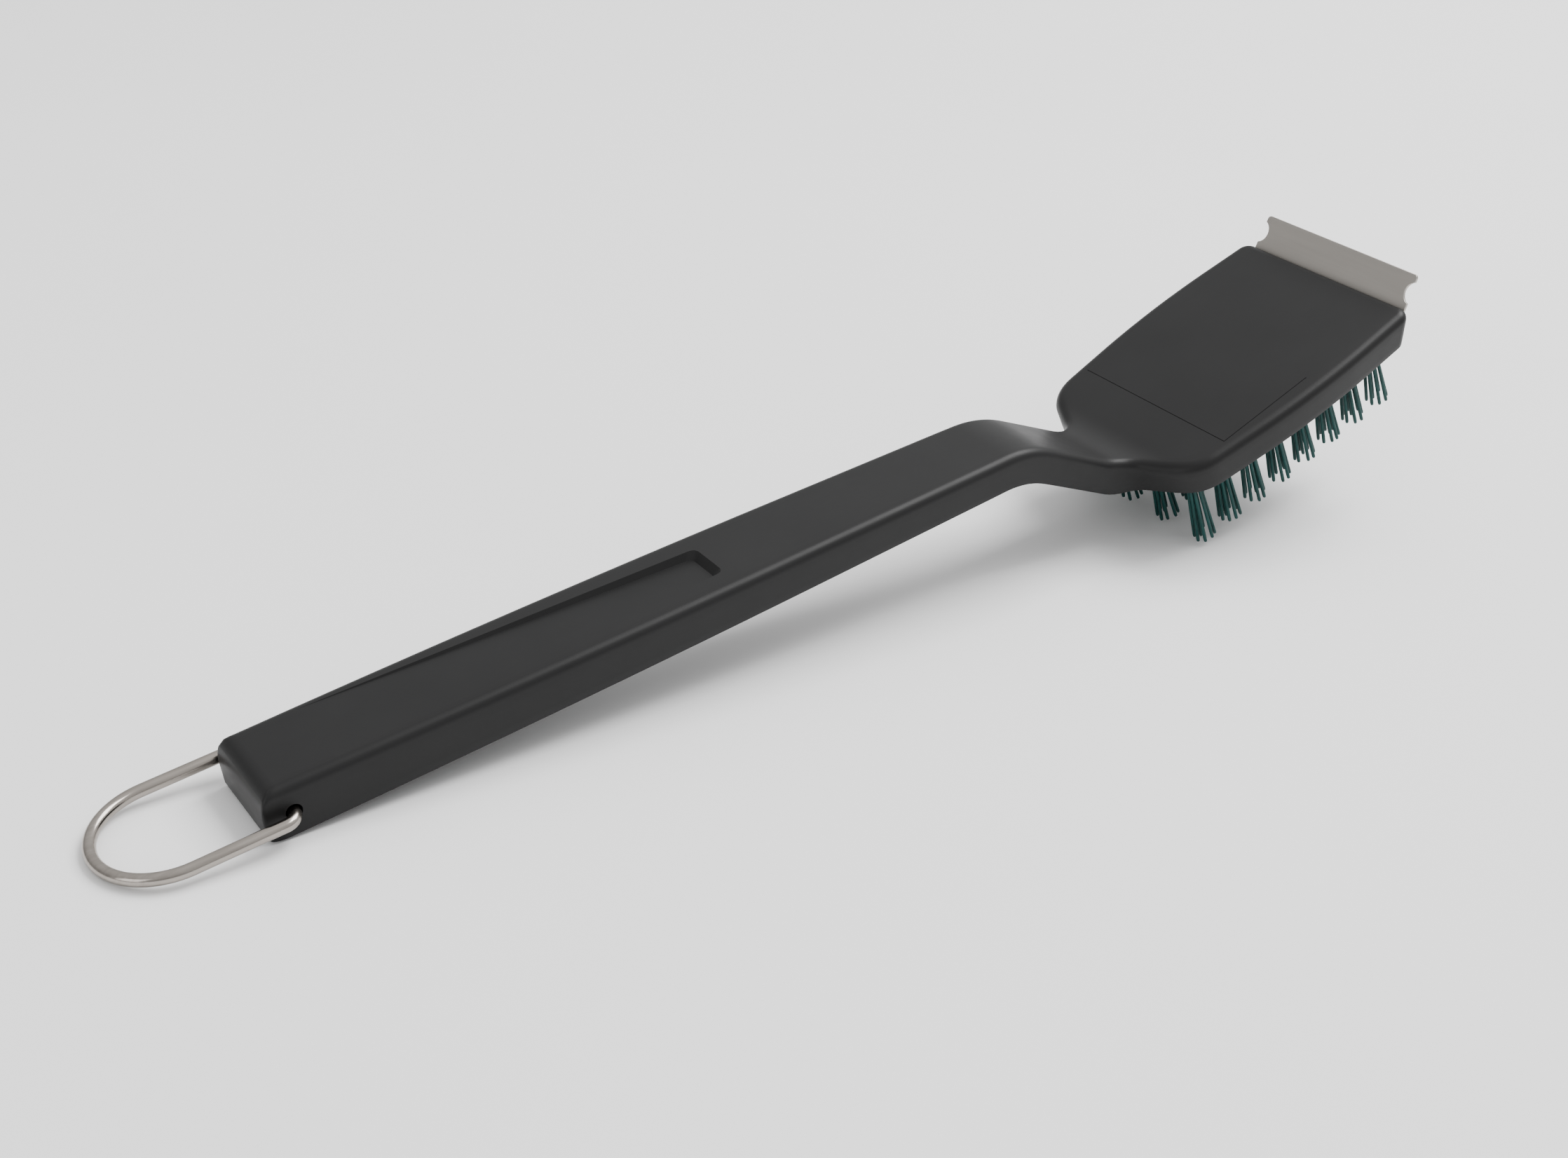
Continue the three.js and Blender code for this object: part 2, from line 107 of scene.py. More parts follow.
# The brush lies on its rear tufts and on its heel, the lower rear edge of the handle.
last_row = TUFT_FRONT_MARGIN + (TUFT_ROWS - 1) * TUFT_ROW_PITCH
tips = in_head(last_row, HEAD_THICKNESS + TUFT_LENGTH) - along * TUFT_TIP_R
heel_fall = (HANDLE_END_THICKNESS - HANDLE_MID_THICKNESS) / HANDLE_SWELL_FROM_END
heel = (END_BOTTOM_RUN, -HANDLE_END_THICKNESS + heel_fall * END_BOTTOM_RUN)
tilt = math.atan2(tips[1] - heel[1], tips[0] - heel[0])
swing = next(j for j in frame["record"]["behaviour"]["joints"] if j["name"] == "loop_swing")
turn = Matrix.Rotation(tilt, 3, "Y")
MILLIMETRE = 0.001
TO_FRAME = Matrix.Translation(Vector(swing["pos_m"]) - turn @ Vector(PIVOT) * MILLIMETRE)
TO_FRAME = TO_FRAME @ turn.to_4x4() @ Matrix.Scale(MILLIMETRE, 4)


# --- mesh helpers ---

def rounded(corners, steps=12):
    """Points along a polyline whose inner corners (x, y, bend) are rounded over the length bend."""
    points = [np.array(corners[0][:2], float)]
    for before, corner, after in zip(corners, corners[1:], corners[2:]):
        c = np.array(corner[:2], float)
        bend = corner[2]
        a = np.array(before[:2]) - c
        b = np.array(after[:2]) - c
        a = c + a / np.linalg.norm(a) * bend
        b = c + b / np.linalg.norm(b) * bend
        for i in range(steps + 1):
            t = i / steps
            points.append(a * (1 - t) ** 2 + c * 2 * t * (1 - t) + b * t ** 2)
    points.append(np.array(corners[-1][:2], float))
    return np.array(points)


def resample(points, step):
    """Evenly spaced points along a polyline."""
    lengths = np.r_[0, np.cumsum(np.linalg.norm(np.diff(points, axis=0), axis=1))]
    wanted = np.linspace(0, lengths[-1], max(2, round(lengths[-1] / step) + 1))
    return np.stack([np.interp(wanted, lengths, points[:, i]) for i in range(points.shape[1])], 1)


def square_offsets(points, reach):
    """Offsets of one length, square to a line and to the left of its direction."""
    direction = np.gradient(points, axis=0)
    direction /= np.linalg.norm(direction, axis=1)[:, None]
    return np.column_stack([-direction[:, 1], direction[:, 0]]) * reach


def round_off(distance, r):
    """How far a quarter-round of radius r has fallen away at a distance from its outer edge."""
    d = np.clip(distance, 0, r)
    return r - np.sqrt(np.maximum(r * r - (r - d) ** 2, 0))


def new_object(name, verts, faces, surface, smooth_angle=35):
    """A mesh object with a material, smooth over edges that bend less than an angle in degrees."""
    mesh = bpy.data.meshes.new(name)
    mesh.from_pydata([tuple(v) for v in verts], [], faces)
    bm = bmesh.new()
    bm.from_mesh(mesh)
    bmesh.ops.remove_doubles(bm, verts=bm.verts, dist=1e-4)
    bmesh.ops.dissolve_degenerate(bm, edges=bm.edges, dist=1e-5)
    bmesh.ops.recalc_face_normals(bm, faces=bm.faces)
    bm.to_mesh(mesh)
    bm.free()
    obj = bpy.data.objects.new(name, mesh)
    bpy.context.scene.collection.objects.link(obj)
    if surface:
        mesh.materials.append(surface)
    mesh.shade_smooth()
    mesh.set_sharp_from_angle(angle=math.radians(smooth_angle))
    return obj


def to_frame(obj):
    """Moves a mesh drawn in millimetres to its place in the part's frame."""
    obj.data.transform(TO_FRAME)
    return obj


def grid_faces(rows, columns, closed=False):
    """Quads of a grid of points stored row by row; closed joins its last column to its first."""
    faces = []
    for i in range(rows - 1):
        for j in range(columns if closed else columns - 1):
            k = (j + 1) % columns
            here, there = i * columns, (i + 1) * columns
            faces.append((here + j, here + k, there + k, there + j))
    return faces


def faces_between(n):
    """Faces of a solid whose points are two rings of n: its walls and its two ends."""
    walls = [(i, (i + 1) % n, n + (i + 1) % n, n + i) for i in range(n)]
    return walls + [tuple(range(n)), tuple(range(n, 2 * n))]


def prism(outline, low, high, axis):
    """Verts and faces of an outline extruded along an axis: 'y' (outline x-z) or 'z' (x-y)."""
    verts = []
    for level in (low, high):
        for a, b in outline:
            verts.append((a, level, b) if axis == "y" else (a, b, level))
    return verts, faces_between(len(outline))


def revolve(profile, sides):
    """Verts and faces of a closed profile (radius, height) turned about z."""
    verts, faces = [], []
    for i in range(sides):
        a = 2 * math.pi * i / sides
        verts += [(r * math.cos(a), r * math.sin(a), h) for r, h in profile]
    m = len(profile)
    for i in range(sides):
        k = (i + 1) % sides
        faces += [(i * m + j, k * m + j, k * m + j + 1, i * m + j + 1) for j in range(m - 1)]
    return verts, faces


def cut(obj, cutters):
    """Takes the cutters (verts, faces) away from obj, one after another."""
    for number, (verts, faces) in enumerate(cutters):
        cutter = new_object(f"cutter_{number}", verts, faces, None)
        modifier = obj.modifiers.new("cut", "BOOLEAN")
        modifier.operation = "DIFFERENCE"
        modifier.solver = "EXACT"
        modifier.object = cutter
    graph = bpy.context.evaluated_depsgraph_get()
    done = bpy.data.meshes.new_from_object(obj.evaluated_get(graph))
    cutters_used = [m.object for m in obj.modifiers]
    obj.modifiers.clear()
    old = obj.data
    obj.data = done
    bpy.data.meshes.remove(old)
    for cutter in cutters_used:
        bpy.data.objects.remove(cutter)


def joined(parts):
    """Several (verts, faces) as one."""
    verts, faces = [], []
    for part_verts, part_faces in parts:
        start = len(verts)
        verts += list(part_verts)
        faces += [tuple(start + i for i in face) for face in part_faces]
    return verts, faces


# --- materials ---

def grey(value):
    return (value, value, value)


def material(name):
    """A new material with its nodes, links, main shader and texture coordinates."""
    made = bpy.data.materials.new(name)
    made.use_nodes = True
    nodes, links = made.node_tree.nodes, made.node_tree.links
    shader = nodes["Principled BSDF"]
    coords = nodes.new("ShaderNodeTexCoord")
    return made, nodes, links, shader, coords


def noise(nodes, links, coords, scale, detail=3, stretch=(1, 1, 1)):
    """A noise texture over the object's own coordinates, scale in features a metre."""
    mapping = nodes.new("ShaderNodeMapping")
    mapping.inputs["Scale"].default_value = stretch
    texture = nodes.new("ShaderNodeTexNoise")
    texture.inputs["Scale"].default_value = scale
    texture.inputs["Detail"].default_value = detail
    links.new(coords.outputs["Object"], mapping.inputs["Vector"])
    links.new(mapping.outputs["Vector"], texture.inputs["Vector"])
    return texture.outputs["Fac"]


def ramp(nodes, links, source, stops):
    """A colour ramp over source; its stops (position, colour) go from low to high."""
    made = nodes.new("ShaderNodeValToRGB")
    elements = made.color_ramp.elements
    for element, (position, colour) in zip(elements, stops):
        element.position = position
        element.color = (*colour, 1)
    for position, colour in stops[2:]:
        elements.new(position).color = (*colour, 1)
    links.new(source, made.inputs["Fac"])
    return made.outputs["Color"]


def scaled(nodes, links, source, low, high):
    """source, from 0 to 1, mapped to low..high."""
    made = nodes.new("ShaderNodeMapRange")
    made.inputs["To Min"].default_value = low
    made.inputs["To Max"].default_value = high
    links.new(source, made.inputs["Value"])
    return made.outputs["Result"]


def bump(nodes, links, layers, shader):
    """Stacks bump layers (height, distance in metres, strength) and joins them to the shader."""
    normal = None
    for height, distance, strength in layers:
        made = nodes.new("ShaderNodeBump")
        made.inputs["Distance"].default_value = distance
        made.inputs["Strength"].default_value = strength
        links.new(height, made.inputs["Height"])
        if normal:
            links.new(normal, made.inputs["Normal"])
        normal = made.outputs["Normal"]
    links.new(normal, shader.inputs["Normal"])


def moulded_plastic():
    made, nodes, links, shader, coords = material("moulded_grey_plastic")
    dark, light = (0.0092, 0.0092, 0.0094), (0.0110, 0.0110, 0.0112)
    cloud = noise(nodes, links, coords, scale=35, detail=4)
    colour = ramp(nodes, links, cloud, [(0.3, dark), (0.7, light)])
    links.new(colour, shader.inputs["Base Color"])
    rough = noise(nodes, links, coords, scale=160, detail=5)
    links.new(scaled(nodes, links, rough, low=0.36, high=0.46), shader.inputs["Roughness"])
    grain = noise(nodes, links, coords, scale=2600, detail=2)
    flow = noise(nodes, links, coords, scale=60, detail=2, stretch=(0.3, 1, 1))
    bump(nodes, links, [(grain, 0.00004, 0.25), (flow, 0.0003, 0.06)], shader)
    shader.inputs["Specular IOR Level"].default_value = 0.19
    return made


def sheet_steel():
    made, nodes, links, shader, coords = material("satin_steel_sheet")
    dark, light = (0.40, 0.377, 0.348), (0.42, 0.396, 0.366)
    lines = noise(nodes, links, coords, scale=900, stretch=(1, 0.03, 1))
    colour = ramp(nodes, links, lines, [(0.25, dark), (0.75, light)])
    links.new(colour, shader.inputs["Base Color"])
    links.new(scaled(nodes, links, lines, low=0.38, high=0.45), shader.inputs["Roughness"])
    fine = noise(nodes, links, coords, scale=2500, detail=2, stretch=(1, 0.02, 1))
    bump(nodes, links, [(fine, 0.00002, 0.2)], shader)
    shader.inputs["Metallic"].default_value = 1.0
    return made


def drawn_wire():
    made, nodes, links, shader, coords = material("bright_drawn_wire")
    dark, light = (0.30, 0.273, 0.246), (0.36, 0.330, 0.300)
    lines = noise(nodes, links, coords, scale=700, stretch=(0.05, 1, 1))
    colour = ramp(nodes, links, lines, [(0.3, dark), (0.7, light)])
    links.new(colour, shader.inputs["Base Color"])
    links.new(scaled(nodes, links, lines, low=0.18, high=0.25), shader.inputs["Roughness"])
    bump(nodes, links, [(lines, 0.00002, 0.15)], shader)
    shader.inputs["Metallic"].default_value = 1.0
    return made


def nylon():
    made, nodes, links, shader, coords = material("teal_nylon_filament")
    dark, light = (0.004, 0.036, 0.033), (0.008, 0.056, 0.052)
    patch = noise(nodes, links, coords, scale=220)
    colour = ramp(nodes, links, patch, [(0.3, dark), (0.7, light)])
    links.new(colour, shader.inputs["Base Color"])
    streak = noise(nodes, links, coords, scale=1500, stretch=(1, 1, 0.15))
    links.new(scaled(nodes, links, streak, low=0.38, high=0.55), shader.inputs["Roughness"])
    bump(nodes, links, [(streak, 0.00005, 0.3)], shader)
    shader.inputs["Specular IOR Level"].default_value = 0.2
    shader.inputs["Subsurface Weight"].default_value = 0.08
    shader.inputs["Subsurface Radius"].default_value = (0.0004, 0.0006, 0.0006)
    return made


PLASTIC, STEEL, WIRE, NYLON = moulded_plastic(), sheet_steel(), drawn_wire(), nylon()

# --- body: side profile, plan and the skin between them ---

neck_slope = -NECK_DROP / NECK_RUN
neck_under = (HANDLE_LENGTH - NECK_UNDER_SETBACK, -HANDLE_FRONT_THICKNESS)
head_slope = math.tan(HEAD_PITCH)
head_under_at_zero = underside[1] - head_slope * underside[0]
neck_under_at_zero = neck_under[1] - neck_slope * neck_under[0]
valley_x = (head_under_at_zero - neck_under_at_zero) / (neck_slope - head_slope)
valley = (valley_x, head_under_at_zero + head_slope * valley_x)

top_line = rounded([
    (0, 0),
    (HANDLE_LENGTH, 0, NECK_TOP_BEND),
    (*head_rear, NECK_TOP_BEND),
    tuple(head_front),
])
bottom_line = rounded([
    (0, -HANDLE_END_THICKNESS),
    (HANDLE_SWELL_FROM_END, -HANDLE_MID_THICKNESS, HANDLE_UNDER_BEND),
    (*neck_under, NECK_UNDER_BEND),
    (*valley, NECK_UNDER_BEND),
    tuple(underside),
])
side_line = rounded([
    (0, HANDLE_END_HALF_WIDTH),
    (HANDLE_SWELL_FROM_END, HANDLE_SWELL_HALF_WIDTH, HANDLE_SWELL_BEND),
    (HANDLE_LENGTH - HANDLE_FRONT_SETBACK, HANDLE_FRONT_HALF_WIDTH, NECK_SIDE_BEND),
    (HANDLE_LENGTH + NECK_TAPER_LENGTH, NECK_HALF_WIDTH, NECK_SIDE_BEND),
    (head_rear[0], NECK_HALF_WIDTH, NECK_SIDE_BEND),
    (head_rear[0] + HEAD_SHOULDER_RUN, HEAD_SHOULDER_HALF_WIDTH, HEAD_SHOULDER_BEND),
    (head_front[0] - HEAD_WIDEST_FROM_FRONT, HEAD_HALF_WIDTH, HEAD_SIDE_BEND),
    (head_front[0], HEAD_FRONT_HALF_WIDTH),
])

# At the head's rear its side walls stand square to its top face. The lean changes evenly from there
# to the one at its front.
HEAD_REAR_LEAN = -HEAD_THICKNESS * math.sin(HEAD_PITCH)

# How finely the skin is divided: steps across it and round its corners and edges, millimetres along
# its sides, and the heights of the rings in its walls.
ACROSS_STEPS, REAR_CORNER_STEPS, FRONT_CORNER_STEPS = 8, 8, 12
TOP_EDGE_STEPS, UNDER_EDGE_STEPS, PLAN_STEP = 8, 3, 1.6
WALL_SHARES = (0.75, 0.5, 0.25)


def end_fall(x, run, fall):
    """Height lost to an end rounded over a run and a fall of their own."""
    return fall * round_off(np.asarray(x) / run, 1)


def half_width(x):
    """Half-width of the body at a place along the brush."""
    return float(np.interp(x, side_line[:, 0], side_line[:, 1]))


def top_at(x):
    """Height of the top face at places along the brush."""
    return np.interp(x, top_line[:, 0], top_line[:, 1]) - end_fall(x, END_TOP_RUN, END_TOP_FALL)


def bottom_at(x):
    """Height of the underside at places along the brush."""
    line = np.interp(x, bottom_line[:, 0], bottom_line[:, 1])
    return line + end_fall(x, END_BOTTOM_RUN, END_BOTTOM_RISE)


def lean_at(x):
    """How far the foot of the side wall stands behind its top, at a place along the brush."""
    rise = np.clip((x - head_rear[0] + NECK_TOP_BEND) / NECK_TOP_BEND, 0, 1)
    share = np.clip((x - head_rear[0]) / (head_front[0] - head_rear[0]), 0, 1)
    return HEAD_REAR_LEAN * rise * rise * (3 - 2 * rise) * (1 - share) + HEAD_FRONT_LEAN * share


def half_outline(across):
    """Plan of the +y half, from the middle of the rear face to the middle of the front one, with
    its outward normals. The rear and front faces are divided at the shares in across."""
    front = head_front[0]
    rear_half = half_width(END_CORNER_R) - END_CORNER_R
    front_start = front - HEAD_FRONT_CORNER_R
    front_half = half_width(front_start) - HEAD_FRONT_CORNER_R
    points, normals = [], []
    for t in across:
        points.append((0, rear_half * t))
        normals.append((-1, 0))
    for a in np.linspace(0, math.pi / 2, REAR_CORNER_STEPS + 1)[1:]:
        normal = np.array([-math.cos(a), math.sin(a)])
        points.append(np.array([END_CORNER_R, rear_half]) + END_CORNER_R * normal)
        normals.append(normal)
    inner = side_line[(side_line[:, 0] > END_CORNER_R) & (side_line[:, 0] < front_start)]
    side_end = (front_start, front_half + HEAD_FRONT_CORNER_R)
    side = resample(np.vstack([points[-1], inner, side_end]), PLAN_STEP)
    points += list(side[1:])
    normals += list(square_offsets(side, 1)[1:])
    for a in np.linspace(math.pi / 2, 0, FRONT_CORNER_STEPS + 1)[1:]:
        normal = np.array([math.cos(a), math.sin(a)])
        points.append(np.array([front_start, front_half]) + HEAD_FRONT_CORNER_R * normal)
        normals.append(normal)
    for t in across[::-1][1:]:
        points.append((front, front_half * t))
        normals.append((1, 0))
    return np.array(points), np.array(normals)


def skin():
    """Verts and faces of the moulding before anything is cut from it, in millimetres."""
    across = np.linspace(0, 1, ACROSS_STEPS + 1)
    half, half_normals = half_outline(across)
    flip = np.array([1, -1])
    plan = np.vstack([half, (half * flip)[::-1][1:-1]])
    normals = np.vstack([half_normals, (half_normals * flip)[::-1][1:-1]])
    edge_r = END_EDGE_R + (TOP_EDGE_R - END_EDGE_R) * np.clip(plan[:, 0] / END_TOP_RUN, 0, 1)

    rings = []
    for a in np.linspace(math.pi / 2, 0, TOP_EDGE_STEPS + 1):
        ring = plan - normals * (edge_r * (1 - math.cos(a)))[:, None]
        z = top_at(ring[:, 0]) - edge_r * (1 - math.sin(a))
        rings.append(np.column_stack([ring, z]))
    wall_top = top_at(plan[:, 0]) - edge_r
    wall_foot = bottom_at(plan[:, 0] - lean_at(plan[:, 0]))
    for share in WALL_SHARES:
        x = plan[:, 0] - lean_at(plan[:, 0]) * (1 - share)
        rings.append(np.column_stack([x, plan[:, 1], wall_foot + (wall_top - wall_foot) * share]))
    for a in np.linspace(0, math.pi / 2, UNDER_EDGE_STEPS + 1):
        ring = plan - normals * UNDER_EDGE_R * (1 - math.cos(a))
        x = ring[:, 0] - lean_at(ring[:, 0])
        z = bottom_at(x) + UNDER_EDGE_R * (1 - math.sin(a))
        rings.append(np.column_stack([x, ring[:, 1], z]))
    verts = list(np.vstack(rings))
    faces = grid_faces(len(rings), len(plan), closed=True)

    # The top face and the underside: rows of points from side to side inside the first and last ring.
    spread = np.r_[-across[::-1], across[1:]]
    for rim in (rings[0], rings[-1]):
        rows = rim[ACROSS_STEPS:len(half) - ACROSS_STEPS]
        start = len(verts)
        verts += [(x, y, z) for x, half_row, z in rows for y in spread * half_row]
        faces += [tuple(start + k for k in f) for f in grid_faces(len(rows), len(spread))]
    return verts, faces


body = new_object("moulded_body", *skin(), PLASTIC)

# --- cuts in the body ---

# Cutters that open a surface run out to here, well past it.
REACH = 60

RECESS_START, RECESS_END, RECESS_DEPTH = 24, 151, 2.2
RECESS_REAR_HALF, RECESS_FRONT_HALF = 13.4, 8
RECESS_CORNER, RECESS_END_DRAFT, RECESS_SIDE_DRAFT = 2.6, 2.2, 1.2


def recess_outline(grow):
    """Plan of the recess: grow is -1 on its floor and 1 at the cutter's top, above the handle."""
    end = RECESS_END + RECESS_END_DRAFT * grow
    rear = RECESS_REAR_HALF + RECESS_SIDE_DRAFT * max(grow, 0)
    front = RECESS_FRONT_HALF + RECESS_SIDE_DRAFT * grow
    corners = [
        (RECESS_START, -rear),
        (end, -front, RECESS_CORNER),
        (end, front, RECESS_CORNER),
        (RECESS_START, rear),
    ]
    return rounded(corners, steps=6)


recess_floor, recess_open = recess_outline(-1), recess_outline(1)
floor_slope = RECESS_DEPTH / (RECESS_END - RECESS_END_DRAFT - RECESS_START)
recess_verts = [(x, y, -floor_slope * (x - RECESS_START)) for x, y in recess_floor]
recess_verts += [(x, y, RECESS_DEPTH) for x, y in recess_open]
recess = (recess_verts, faces_between(len(recess_floor)))

CORE_START, CORE_FRONT_MARGIN, CORE_BAYS = 24, 14, 7
CORE_RIB, CORE_WALL, CORE_ROOF, CORE_CORNER = 2.4, 3, 5.4, 2.2


def core_bay(rear, front):
    """Cutter for one bay of the handle's cored underside, between two ribs."""
    rear_half, front_half = half_width(rear) - CORE_WALL, half_width(front) - CORE_WALL
    corners = [(rear, 0), (rear, rear_half, CORE_CORNER), (front, front_half, CORE_CORNER), (front, 0)]
    half = [tuple(p) for p in rounded(corners, steps=4)[1:-1]]
    return prism(half + [(x, -y) for x, y in half[::-1]], -REACH, -CORE_ROOF, "z")


core_pitch = (HANDLE_LENGTH - CORE_FRONT_MARGIN - CORE_START + CORE_RIB) / CORE_BAYS
bay_starts = [CORE_START + number * core_pitch for number in range(CORE_BAYS)]
bays = joined([core_bay(start, start + core_pitch - CORE_RIB) for start in bay_starts])

HOLE_R, HOLE_SIDES, WIRE_SAG = 2.4, 32, 0.35
cross_hole_outline = [
    (PIVOT[0] + HOLE_R * math.cos(a), PIVOT[2] + WIRE_SAG + HOLE_R * math.sin(a))
    for a in np.linspace(0, 2 * math.pi, HOLE_SIDES, endpoint=False)
]
cross_hole = prism(cross_hole_outline, -REACH, REACH, "y")

BLADE_THICKNESS, BLADE_HALF_WIDTH, BLADE_RISE_ANGLE = 1.0, 34.8, math.radians(61)
BLADE_HEIGHT, BLADE_FLANGE, BLADE_BEND = 15.4, 16, 2.2
BLADE_DEPTH, BLADE_SETBACK = 4.6, 2
blade_corner = in_head(BLADE_SETBACK, BLADE_DEPTH)
blade_rise = np.array([math.cos(BLADE_RISE_ANGLE), math.sin(BLADE_RISE_ANGLE)])
blade_tip = blade_corner + blade_rise * BLADE_HEIGHT


def blade_line(extra=0.0):
    """Middle line of the blade's strip in x-z, from the flange's end to the tip."""
    start = blade_corner - along * (BLADE_FLANGE + extra)
    return rounded([tuple(start), (*blade_corner, BLADE_BEND), tuple(blade_tip)], steps=8)


def strip(points, thickness):
    """Closed outline of a strip of a given thickness about a middle line."""
    side = square_offsets(points, thickness / 2)
    return [tuple(p) for p in np.vstack([points - side, (points + side)[::-1]])]


slot_thickness = BLADE_THICKNESS + 2 * CLEARANCE
slot_half = BLADE_HALF_WIDTH + CLEARANCE
slot = prism(strip(blade_line(CLEARANCE), slot_thickness), -slot_half, slot_half, "y")

# In front of the blade the head's front is open above the slot's lower face.
lip_back = in_head(BLADE_SETBACK + BLADE_BEND, BLADE_DEPTH + slot_thickness / 2)
lip_front = in_head(-REACH, BLADE_DEPTH + slot_thickness / 2)
mouth_outline = [
    tuple(lip_back),
    tuple(lip_front),
    (lip_front[0], lip_front[1] + REACH),
    tuple(blade_tip),
    tuple(blade_corner),
]
mouth = prism(mouth_outline, -slot_half, slot_half, "y")

TUFT_HOLE_FLOOR, TUFT_HOLE_SIDES = 0.9, 20
TUFT_HOLE_FLARE, TUFT_HOLE_FLARE_FROM = 0.4, 0.3
slot_depth = BLADE_DEPTH + BLADE_THICKNESS / 2 + CLEARANCE
hole_depth = HEAD_THICKNESS - slot_depth - TUFT_HOLE_FLOOR
hole_r = TUFT_ROOT_R + CLEARANCE


def tuft_frame(row, column):
    """Drawn frame of a tuft: origin at its hole's mouth, +z into the head."""
    x, z = in_head(TUFT_FRONT_MARGIN + row * TUFT_ROW_PITCH, HEAD_THICKNESS)
    y = (column - (TUFT_COLUMNS - 1) / 2) * TUFT_COLUMN_PITCH
    return Matrix.Translation((x, y, z)) @ Matrix.Rotation(-HEAD_PITCH, 4, "Y")


tuft_seats = [(row, column) for row in range(TUFT_ROWS) for column in range(TUFT_COLUMNS)]
tuft_hole_profile = [
    (0, hole_depth),
    (hole_r, hole_depth),
    (hole_r, TUFT_HOLE_FLARE_FROM),
    (hole_r + TUFT_HOLE_FLARE, -TUFT_HOLE_FLARE),
    (0, -TUFT_HOLE_FLARE),
]
hole_verts, hole_faces = revolve(tuft_hole_profile, TUFT_HOLE_SIDES)
tuft_holes = joined([
    ([tuple(tuft_frame(*seat) @ Vector(v)) for v in hole_verts], hole_faces) for seat in tuft_seats
])

# The fine line that a separate insert in the mould leaves on the head's top face: its plan is
# (distance back from the head's front edge, y).
LINE_WIDTH, LINE_DEPTH, LINE_CUT_FROM = 0.35, 0.15, -1
LINE_REAR, LINE_FRONT, LINE_HALF_WIDTH = 83.5, 45.5, 33.6
line_plan = [
    (LINE_REAR + LINE_WIDTH, -LINE_HALF_WIDTH),
    (LINE_REAR + LINE_WIDTH, LINE_HALF_WIDTH),
    (LINE_REAR, LINE_HALF_WIDTH),
    (LINE_REAR, LINE_WIDTH - LINE_HALF_WIDTH),
    (LINE_FRONT, LINE_WIDTH - LINE_HALF_WIDTH),
    (LINE_FRONT, -LINE_HALF_WIDTH),
]
line_verts, line_faces = prism(line_plan, LINE_CUT_FROM, LINE_DEPTH, "z")
line_verts = [(in_head(back, depth)[0], y, in_head(back, depth)[1]) for back, y, depth in line_verts]

cut(body, [recess, bays, cross_hole, slot, mouth, tuft_holes, (line_verts, line_faces)])
body.data.materials.clear()
body.data.materials.append(PLASTIC)
body.data.shade_smooth()
body.data.set_sharp_from_angle(angle=math.radians(30))
to_frame(body)
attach(body, "brush")
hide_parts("body")

# --- scraper blade ---

SCALLOP_R, SCALLOP_DEPTH, SCALLOP_FROM_TIP, EAR_R = 4.0, 2.9, 6.2, 1.3
BLADE_TIP_TAPER, BLADE_TAPER_LENGTH = 0.5, 12
BLADE_STEP = 0.25


def blade_half(from_tip):
    """Half-width of the blade at a distance down from its tip edge."""
    half = BLADE_HALF_WIDTH - BLADE_TIP_TAPER * max(0.0, 1 - from_tip / BLADE_TAPER_LENGTH)
    off = from_tip - SCALLOP_FROM_TIP
    if abs(off) < SCALLOP_R:
        scallop_centre = BLADE_HALF_WIDTH + SCALLOP_R - SCALLOP_DEPTH
        half = min(half, scallop_centre - math.sqrt(SCALLOP_R ** 2 - off ** 2))
    return half - float(round_off(from_tip, EAR_R))


def blade_mesh():
    """Verts and faces of the blade: four corners at every step along its middle line."""
    middle = resample(blade_line(), BLADE_STEP)
    side = square_offsets(middle, BLADE_THICKNESS / 2)
    run = np.r_[0, np.cumsum(np.linalg.norm(np.diff(middle, axis=0), axis=1))]
    verts = []
    for point, offset, gone in zip(middle, side, run):
        half = blade_half(run[-1] - gone)
        a, b = point - offset, point + offset
        verts += [(a[0], -half, a[1]), (a[0], half, a[1]), (b[0], half, b[1]), (b[0], -half, b[1])]
    n = len(verts)
    ends = [(0, 1, 2, 3), tuple(range(n - 4, n))]
    return verts, grid_faces(len(middle), 4, closed=True) + ends


blade = to_frame(new_object("scraper_sheet", *blade_mesh(), STEEL, smooth_angle=40))
edge = blade.modifiers.new("edge", "BEVEL")
edge.width = 0.00018
edge.segments = 2
edge.limit_method = "ANGLE"
edge.angle_limit = math.radians(50)
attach(blade, "brush")
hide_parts("scraper_blade")

# --- hanging loop ---

LOOP_HALF_WIDTH, LOOP_ARM, LOOP_HOOK_R, LOOP_INSET = 20.17, 29.5, 4, 10
HOOK_STEPS, ARM_STEPS, BOW_STEPS, WIRE_SIDES = 8, 7, 24, 28


def loop_line():
    """Middle line of the wire about its pivot, end to end, as (x, y, heading)."""
    half = [(0, LOOP_HALF_WIDTH - LOOP_INSET - LOOP_HOOK_R, math.pi / 2)]
    for a in np.linspace(0, math.pi / 2, HOOK_STEPS + 1):
        x = -LOOP_HOOK_R * (1 - math.cos(a))
        half.append((x, LOOP_HALF_WIDTH - LOOP_HOOK_R * (1 - math.sin(a)), math.pi / 2 + a))
    for x in np.linspace(-LOOP_HOOK_R, -LOOP_ARM, ARM_STEPS + 1)[1:-1]:
        half.append((x, LOOP_HALF_WIDTH, math.pi))
    for a in np.linspace(0, math.pi / 2, BOW_STEPS + 1):
        x = -LOOP_ARM - LOOP_HALF_WIDTH * math.sin(a)
        half.append((x, LOOP_HALF_WIDTH * math.cos(a), math.pi + a))
    return half + [(x, -y, 3 * math.pi - heading) for x, y, heading in half[::-1][1:]]


